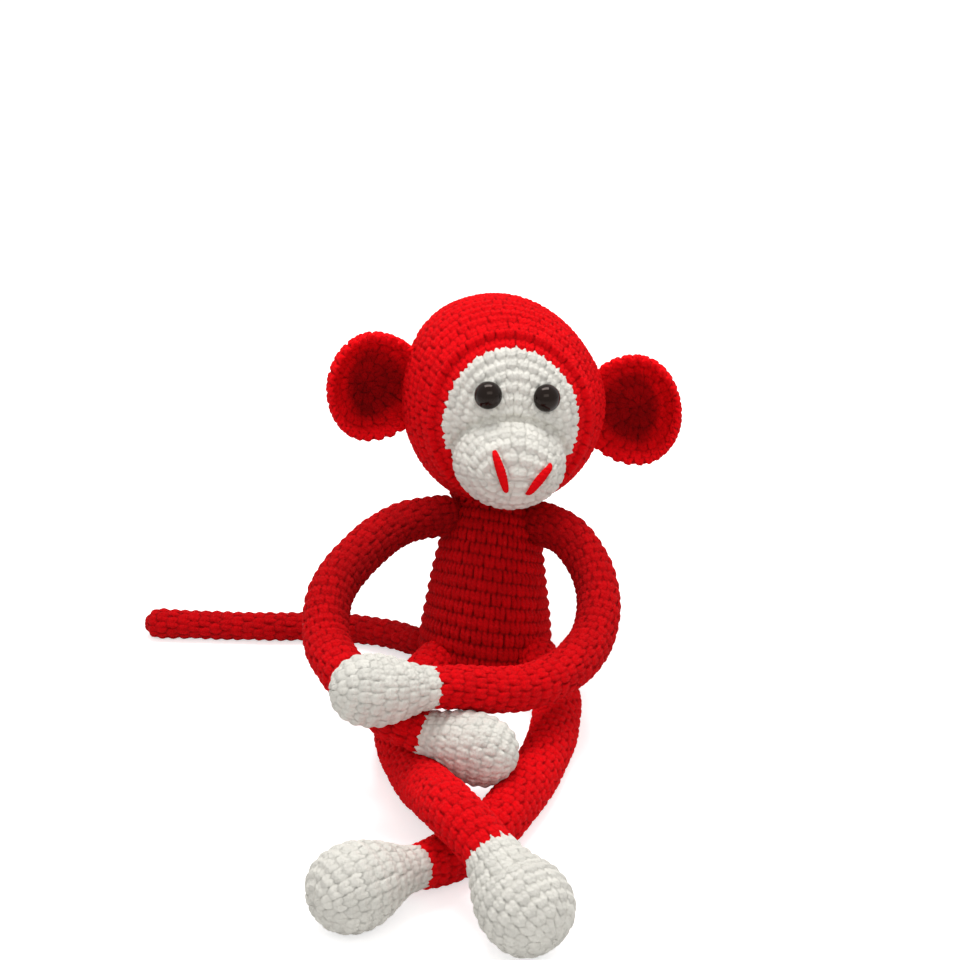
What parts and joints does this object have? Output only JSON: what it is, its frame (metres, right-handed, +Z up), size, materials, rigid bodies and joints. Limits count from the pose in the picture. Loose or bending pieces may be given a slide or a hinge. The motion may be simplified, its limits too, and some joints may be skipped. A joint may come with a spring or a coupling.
{
  "type": "crochet toy monkey",
  "caption": "Stuffed crochet monkey sitting with crossed arms and legs: round head, cupped ears, sewn muzzle, safety eyes, long bendable limbs and a tail.",
  "frame": {"origin": "middle of the flat seat under the torso, on the surface that the toy sits on", "axes": "+Z up; the toy faces -Y with its legs stretched forward; +X is towards its own left"},
  "size_m": [0.2495, 0.3082, 0.166],
  "materials": {
    "red_yarn": "single crochet in soft worsted yarn, slightly fuzzy",
    "white_yarn": "single crochet in soft worsted yarn, slightly fuzzy",
    "filling": "loose polyester fibre",
    "black_eye": "polished",
    "eye_washer": "moulded"
  },
  "bodies": {
    "torso": {"torso_cover": "red_yarn", "torso_stuffing": "filling", "neck_seam_yarn": "red_yarn"},
    "head": {"head_cover": "red_yarn", "face_panel": "white_yarn", "head_stuffing": "filling", "right_eye": "black_eye", "right_eye_washer": "eye_washer", "left_eye": "black_eye", "left_eye_washer": "eye_washer", "right_mouth_stitch": "red_yarn", "left_mouth_stitch": "red_yarn", "muzzle_cover": "white_yarn", "muzzle_stuffing": "filling"},
    "right_ear": {"right_ear": "red_yarn"},
    "left_ear": {"left_ear": "red_yarn"},
    "right_upper_arm": {"right_upper_arm": "red_yarn"},
    "right_forearm": {"right_forearm": "red_yarn", "right_hand": "white_yarn"},
    "left_upper_arm": {"left_upper_arm": "red_yarn"},
    "left_forearm": {"left_forearm": "red_yarn"},
    "left_hand": {"left_hand": "white_yarn"},
    "right_thigh": {"right_thigh": "red_yarn"},
    "right_shin": {"right_shin": "red_yarn", "right_foot": "white_yarn"},
    "left_thigh": {"left_thigh": "red_yarn"},
    "left_shin": {"left_shin": "red_yarn", "left_foot": "white_yarn"},
    "tail": {"tail": "red_yarn"}
  },
  "joints": [
    {"name": "neck_turn", "type": "hinge", "parent": "torso", "child": "head", "pos_m": [0.0032, 0.024, 0.07], "axis": [0.0994, 0.2071, 0.9733], "range_deg": [-25, 25]},
    {"name": "right_ear_bend", "type": "hinge", "parent": "head", "child": "right_ear", "pos_m": [-0.03464, 0.03565, 0.12017], "axis": [0.0777, 0.1113, 0.9907], "range_deg": [-15, 15]},
    {"name": "left_ear_bend", "type": "hinge", "parent": "head", "child": "left_ear", "pos_m": [0.04978, 0.04226, 0.1128], "axis": [0.0777, 0.1113, 0.9907], "range_deg": [-15, 15]},
    {"name": "right_shoulder", "type": "hinge", "parent": "torso", "child": "right_upper_arm", "pos_m": [-0.02, 0.01, 0.07], "axis": [-0.9995, 0, 0.0326], "range_deg": [0, 40]},
    {"name": "left_shoulder", "type": "hinge", "parent": "torso", "child": "left_upper_arm", "pos_m": [0.026, 0.01, 0.0685], "axis": [-0.9995, 0, 0.0326], "range_deg": [0, 40]},
    {"name": "right_elbow", "type": "hinge", "parent": "right_upper_arm", "child": "right_forearm", "pos_m": [-0.06752, -0.04479, 0.05517], "axis": [-0.9847, 0.1083, 0.1369], "range_deg": [0, 42]},
    {"name": "left_elbow", "type": "hinge", "parent": "left_upper_arm", "child": "left_forearm", "pos_m": [0.04275, -0.05692, 0.03985], "axis": [-0.9847, 0.1083, 0.1369], "range_deg": [0, 42]},
    {"name": "left_wrist", "type": "hinge", "parent": "left_forearm", "child": "left_hand", "pos_m": [-0.02086, -0.11112, 0.05086], "axis": [0, 1, 0], "range_deg": [0, 30]},
    {"name": "left_hip", "type": "hinge", "parent": "torso", "child": "left_thigh", "pos_m": [0.023, -0.02, 0.0098], "axis": [1, 0, 0], "range_deg": [0, 50]},
    {"name": "right_hip", "type": "hinge", "parent": "torso", "child": "right_thigh", "pos_m": [-0.022, -0.02, 0.0098], "axis": [1, 0, 0], "range_deg": [0, 50]},
    {"name": "left_knee", "type": "hinge", "parent": "left_thigh", "child": "left_shin", "pos_m": [0.0195, -0.11134, 0.0098], "axis": [0.9992, 0.0238, -0.0324], "range_deg": [0, 40]},
    {"name": "right_knee", "type": "hinge", "parent": "right_thigh", "child": "right_shin", "pos_m": [-0.02987, -0.11251, 0.0114], "axis": [0.9992, 0.0238, -0.0324], "range_deg": [0, 40]},
    {"name": "tail_base", "type": "hinge", "parent": "torso", "child": "tail", "pos_m": [-0.029, 0.006, 0.008], "axis": [0, 0, 1], "range_deg": [-60, 0]}
  ],
  "couplings": [
    {"joint": "left_shoulder", "follows": "right_shoulder", "ratio": 1},
    {"joint": "left_elbow", "follows": "right_elbow", "ratio": 1},
    {"joint": "right_hip", "follows": "left_hip", "ratio": 1},
    {"joint": "right_knee", "follows": "left_knee", "ratio": 1}
  ]
}
